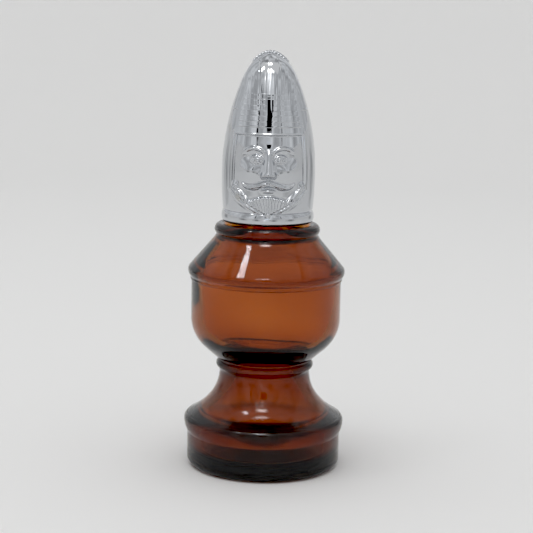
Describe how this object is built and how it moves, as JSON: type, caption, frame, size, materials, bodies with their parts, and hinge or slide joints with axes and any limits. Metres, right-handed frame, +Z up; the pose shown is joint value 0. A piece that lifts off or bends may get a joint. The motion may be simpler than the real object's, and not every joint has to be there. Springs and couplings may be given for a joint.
{
  "type": "aftershave bottle",
  "caption": "Chess-bishop decanter: amber glass bottle with a waisted foot, and a chrome-plated bearded head that unscrews as the cap.",
  "frame": {"origin": "centre of the bottle's axis on the plane that the foot stands on", "axes": "+Z up along the bottle's axis, -Y out through the face on the cap, +X to the right of someone who looks at the face"},
  "size_m": [0.058, 0.058, 0.15],
  "materials": {
    "amber_glass": "clear amber container glass, glossy",
    "chrome_plating": "moulded plastic with a mirror-bright chrome plating, polished",
    "natural_plastic": "natural polyethylene, gloss",
    "closure_plastic": "white polypropylene, satin",
    "liner_foam": "foamed polyethylene wad, matte",
    "label_paper": "uncoated paper, matte"
  },
  "bodies": {
    "bottle": {"glass_bottle": "amber_glass", "pour_plug": "natural_plastic", "base_label": "label_paper"},
    "liner": {"seal_liner": "liner_foam"},
    "cap": {"cap_insert": "closure_plastic", "head_shell": "chrome_plating"}
  },
  "joints": [
    {"name": "cap_lift", "type": "slide", "parent": "bottle", "child": "liner", "axis": [0, 0, 1], "range_m": [0, 0.0143]},
    {"name": "cap_turn", "type": "hinge", "parent": "liner", "child": "cap", "pos_m": [0, 0, 0.09], "axis": [0, 0, 1], "range_deg": [0, 1620]}
  ],
  "couplings": [
    {"joint": "cap_lift", "follows": "cap_turn", "m_per_rad": 0.00050532}
  ]
}
